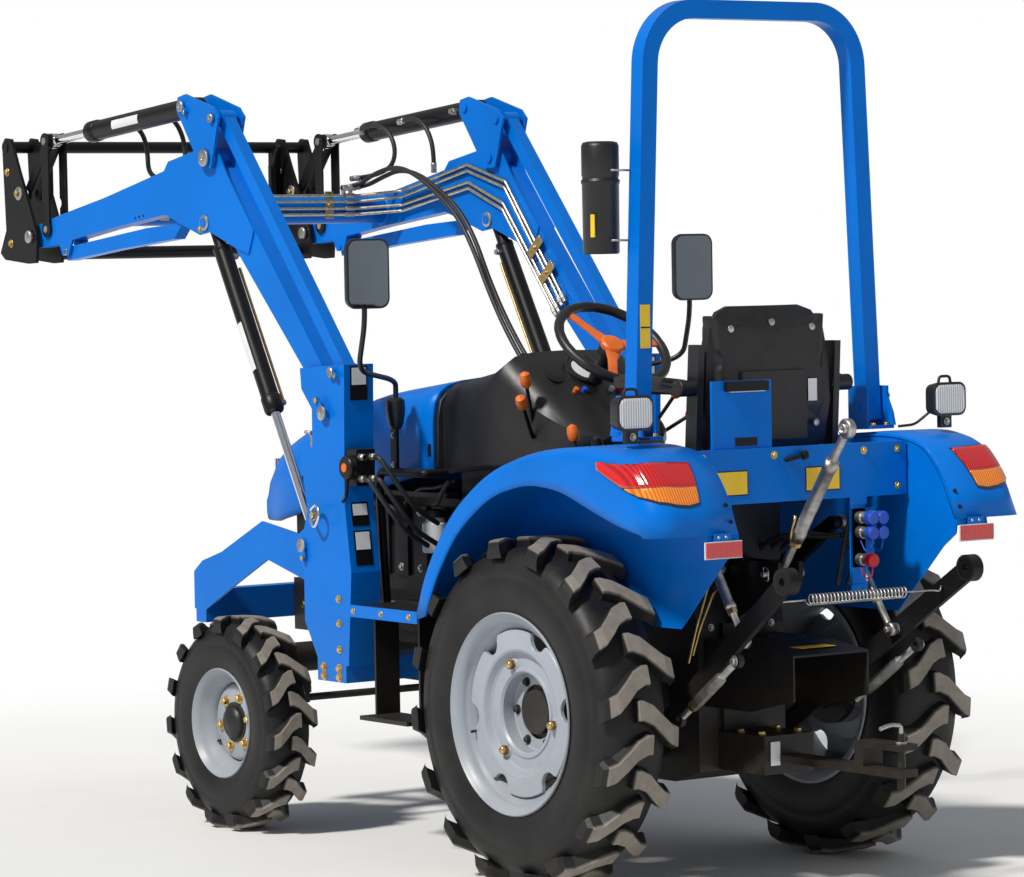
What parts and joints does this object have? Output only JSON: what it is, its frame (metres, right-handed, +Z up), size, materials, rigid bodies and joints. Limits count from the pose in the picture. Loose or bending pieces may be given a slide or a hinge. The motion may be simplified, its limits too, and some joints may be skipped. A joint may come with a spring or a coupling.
{
  "type": "compact tractor with front loader",
  "caption": "Compact utility tractor with a self-levelling front loader, folding roll bar, three-point hitch, steered front wheels and a hinged hood.",
  "frame": {"origin": "ground under the middle of the bounding box", "axes": "+X forward, +Y to the tractor's left, +Z up"},
  "size_m": [3.789, 1.31, 2.377],
  "materials": {
    "black_paint": "painted satin",
    "black_plastic": "satin",
    "blue_paint": "painted gloss",
    "cast_grey": "painted",
    "chrome": "polished",
    "galvanised": "galvanised",
    "hose_rubber": "matte",
    "lamp": "gloss",
    "seat_vinyl": "matte",
    "tyre_rubber": "matte",
    "wheel_silver": "painted",
    "zinc": "zinc plated"
  },
  "bodies": {
    "chassis": {"cowl": "black_plastic", "drawbar": "black_paint", "engine_block": "cast_grey", "fender_left": "blue_paint", "fender_right": "blue_paint", "front_axle_beam": "cast_grey", "front_frame": "cast_grey", "front_guard": "blue_paint", "loader_crossbeam": "blue_paint", "mast_left": "blue_paint", "mast_right": "blue_paint", "mirrors": "black_plastic", "platform_left": "black_paint", "platform_right": "black_paint", "rear_panel": "blue_paint", "rops_bases": "blue_paint", "seat_backrest": "seat_vinyl", "seat_cushion": "seat_vinyl", "seat_frame": "black_paint", "tail_lamps": "lamp", "transmission_housing": "cast_grey", "work_lamps": "black_plastic"},
    "rear_left_wheel": {"rear_tyre_left": "tyre_rubber", "rear_wheel_left": "wheel_silver"},
    "rear_right_wheel": {"rear_tyre_right": "tyre_rubber", "rear_wheel_right": "wheel_silver"},
    "front_left_wheel": {"front_tyre_left": "tyre_rubber", "front_wheel_left": "wheel_silver"},
    "front_right_wheel": {"front_tyre_right": "tyre_rubber", "front_wheel_right": "wheel_silver"},
    "left_knuckle": {"knuckle_left": "cast_grey"},
    "right_knuckle": {"knuckle_right": "cast_grey"},
    "track_rod": {"tie_rod": "cast_grey"},
    "steering": {"steering_wheel": "black_plastic"},
    "bonnet": {"hood": "blue_paint"},
    "roll_bar": {"rops_hoop": "blue_paint", "manual_canister": "black_paint"},
    "loader_boom": {"boom": "blue_paint", "hydraulic_pipes": "zinc", "boom_hoses": "hose_rubber"},
    "bellcrank_pair": {"bellcranks": "blue_paint"},
    "level_link_pair": {"level_links": "blue_paint"},
    "tip_pin_pair": {"tip_pins": "zinc"},
    "carrier": {"tool_carrier": "black_paint"},
    "guide_pin_pair": {"guide_pins": "zinc"},
    "guide_link_pair": {"guide_links": "black_paint"},
    "top_pin_pair": {"top_pins": "zinc"},
    "coupler_pair": {"coupler_links": "black_paint"},
    "tilt_barrel_pair": {"tilt_barrels": "black_paint", "tilt_hoses": "hose_rubber"},
    "tilt_rod_pair": {"tilt_rods": "chrome"},
    "lift_barrel_pair": {"lift_barrels": "black_paint"},
    "lift_rod_pair": {"lift_rods": "chrome"},
    "stand_pair": {"parking_stands": "blue_paint"},
    "hitch_arms": {"lift_arms": "black_paint"},
    "hitch_rods": {"lift_links": "galvanised"},
    "hitch_stays": {"stabilisers": "galvanised"},
    "hitch_links": {"lower_links": "black_paint", "link_spring": "zinc"},
    "upper_link": {"top_link": "galvanised"}
  },
  "joints": [
    {"name": "rear_left_wheel_spin", "type": "hinge", "parent": "chassis", "child": "rear_left_wheel", "pos_m": [-0.9795, 0.51, 0.475], "axis": [0, 1, 0], "continuous": true},
    {"name": "front_left_wheel_spin", "type": "hinge", "parent": "left_knuckle", "child": "front_left_wheel", "pos_m": [0.5705, 0.507, 0.32], "axis": [0, 1, 0], "continuous": true},
    {"name": "rear_right_wheel_spin", "type": "hinge", "parent": "chassis", "child": "rear_right_wheel", "pos_m": [-0.9795, -0.51, 0.475], "axis": [0, 1, 0], "continuous": true},
    {"name": "front_right_wheel_spin", "type": "hinge", "parent": "right_knuckle", "child": "front_right_wheel", "pos_m": [0.5705, -0.507, 0.32], "axis": [0, 1, 0], "continuous": true},
    {"name": "left_steer", "type": "hinge", "parent": "chassis", "child": "left_knuckle", "pos_m": [0.5705, 0.375, 0.5], "axis": [0, 0, 1], "range_deg": [-40, 40]},
    {"name": "right_steer", "type": "hinge", "parent": "chassis", "child": "right_knuckle", "pos_m": [0.5705, -0.375, 0.5], "axis": [0, 0, 1], "range_deg": [-40, 40]},
    {"name": "track_rod_swing", "type": "hinge", "parent": "left_knuckle", "child": "track_rod", "pos_m": [0.4205, 0.375, 0.394], "axis": [0, 0, 1], "range_deg": [-40, 40]},
    {"name": "steering_turn", "type": "hinge", "parent": "chassis", "child": "steering", "pos_m": [-0.6475, 0, 1.45], "axis": [-0.6428, 0, 0.766], "range_deg": [-360, 360]},
    {"name": "bonnet_hinge", "type": "hinge", "parent": "chassis", "child": "bonnet", "pos_m": [-0.1495, 0, 1.352], "axis": [0, -1, 0], "range_deg": [0, 55]},
    {"name": "roll_bar_fold", "type": "hinge", "parent": "chassis", "child": "roll_bar", "pos_m": [-1.2845, 0, 1.27], "axis": [0, -1, 0], "range_deg": [0, 90]},
    {"name": "boom_lift", "type": "hinge", "parent": "chassis", "child": "loader_boom", "pos_m": [-0.0305, 0, 1.263], "axis": [0, -1, 0], "range_deg": [-56, 20], "deforming": ["boom_hoses"]},
    {"name": "bellcrank_level", "type": "hinge", "parent": "loader_boom", "child": "bellcrank_pair", "pos_m": [0.6105, 0, 2.011], "axis": [0, -1, 0], "range_deg": [-20, 56]},
    {"name": "level_link_swing", "type": "hinge", "parent": "chassis", "child": "level_link_pair", "pos_m": [-0.0735, 0, 1.38], "axis": [0, -1, 0], "range_deg": [-56, 20]},
    {"name": "tip_pin_level", "type": "hinge", "parent": "loader_boom", "child": "tip_pin_pair", "pos_m": [1.6905, 0, 1.79], "axis": [0, -1, 0], "range_deg": [-20, 56]},
    {"name": "carrier_tilt", "type": "hinge", "parent": "tip_pin_pair", "child": "carrier", "pos_m": [1.6905, 0, 1.79], "axis": [0, 1, 0], "range_deg": [-25, 45]},
    {"name": "guide_pin_turn", "type": "hinge", "parent": "loader_boom", "child": "guide_pin_pair", "pos_m": [1.6175, 0, 1.813], "axis": [0, -1, 0], "range_deg": [-14.76, 41.33]},
    {"name": "guide_link_swing", "type": "hinge", "parent": "guide_pin_pair", "child": "guide_link_pair", "pos_m": [1.6175, 0, 1.813], "axis": [0, -1, 0], "range_deg": [-29.39, 16.33]},
    {"name": "top_pin_turn", "type": "hinge", "parent": "guide_link_pair", "child": "top_pin_pair", "pos_m": [1.6185, 0, 2.093], "axis": [0, -1, 0], "range_deg": [-19.75, 7.05]},
    {"name": "coupler_swing", "type": "hinge", "parent": "top_pin_pair", "child": "coupler_pair", "pos_m": [1.6185, 0, 2.093], "axis": [0, -1, 0], "range_deg": [-6.59, 11.86]},
    {"name": "tilt_barrel_swing", "type": "hinge", "parent": "bellcrank_pair", "child": "tilt_barrel_pair", "pos_m": [0.7385, 0, 2.17], "axis": [0, -1, 0], "range_deg": [-62.22, 22.22], "deforming": ["tilt_hoses"]},
    {"name": "tilt_rod_slide", "type": "slide", "parent": "tilt_barrel_pair", "child": "tilt_rod_pair", "axis": [0.9962, 0, -0.0872], "range_m": [-0.0687, 0.1236]},
    {"name": "lift_barrel_swing", "type": "hinge", "parent": "loader_boom", "child": "lift_barrel_pair", "pos_m": [0.6495, 0, 1.818], "axis": [0, -1, 0], "range_deg": [-3.47, 9.71]},
    {"name": "lift_rod_slide", "type": "slide", "parent": "lift_barrel_pair", "child": "lift_rod_pair", "axis": [-0.5008, 0, -0.8656], "range_m": [-0.354, 0.1265]},
    {"name": "stand_swing", "type": "hinge", "parent": "loader_boom", "child": "stand_pair", "pos_m": [1.5035, 0, 1.74], "axis": [0, -1, 0], "range_deg": [0, 85]},
    {"name": "hitch_link_lower", "type": "hinge", "parent": "chassis", "child": "hitch_links", "pos_m": [-1.0395, 0, 0.34], "axis": [0, -1, 0], "range_deg": [0, 20]},
    {"name": "hitch_arm_swing", "type": "hinge", "parent": "chassis", "child": "hitch_arms", "pos_m": [-1.0795, 0, 0.8], "axis": [0, -1, 0], "range_deg": [0, 42.7]},
    {"name": "hitch_rod_swing", "type": "hinge", "parent": "hitch_arms", "child": "hitch_rods", "pos_m": [-1.3495, 0, 0.965], "axis": [0, -1, 0], "range_deg": [-50.7, 0]},
    {"name": "hitch_stay_swing", "type": "hinge", "parent": "chassis", "child": "hitch_stays", "pos_m": [-1.3195, 0, 0.463], "axis": [0, -1, 0], "range_deg": [0, 38.6]},
    {"name": "upper_link_swing", "type": "hinge", "parent": "chassis", "child": "upper_link", "pos_m": [-1.3845, 0, 0.84], "axis": [0, -1, 0], "range_deg": [0, 50]}
  ],
  "couplings": [
    {"joint": "right_steer", "follows": "left_steer", "ratio": 1},
    {"joint": "track_rod_swing", "follows": "left_steer", "ratio": -1},
    {"joint": "steering_turn", "follows": "left_steer", "ratio": 9},
    {"joint": "bellcrank_level", "follows": "boom_lift", "ratio": -1},
    {"joint": "level_link_swing", "follows": "boom_lift", "ratio": 1},
    {"joint": "tip_pin_level", "follows": "boom_lift", "ratio": -1},
    {"joint": "guide_pin_turn", "follows": "boom_lift", "ratio": -0.738},
    {"joint": "guide_link_swing", "follows": "carrier_tilt", "ratio": -0.653},
    {"joint": "top_pin_turn", "follows": "boom_lift", "ratio": 0.3527},
    {"joint": "coupler_swing", "follows": "carrier_tilt", "ratio": 0.2635},
    {"joint": "tilt_barrel_swing", "follows": "boom_lift", "ratio": 1.111},
    {"joint": "tilt_rod_slide", "follows": "carrier_tilt", "m_per_rad": 0.1572},
    {"joint": "lift_barrel_swing", "follows": "boom_lift", "ratio": -0.1733},
    {"joint": "lift_rod_slide", "follows": "boom_lift", "m_per_rad": 0.362},
    {"joint": "hitch_arm_swing", "follows": "hitch_link_lower", "ratio": 2.13},
    {"joint": "hitch_rod_swing", "follows": "hitch_link_lower", "ratio": -2.53},
    {"joint": "hitch_stay_swing", "follows": "hitch_link_lower", "ratio": 1.92}
  ]
}
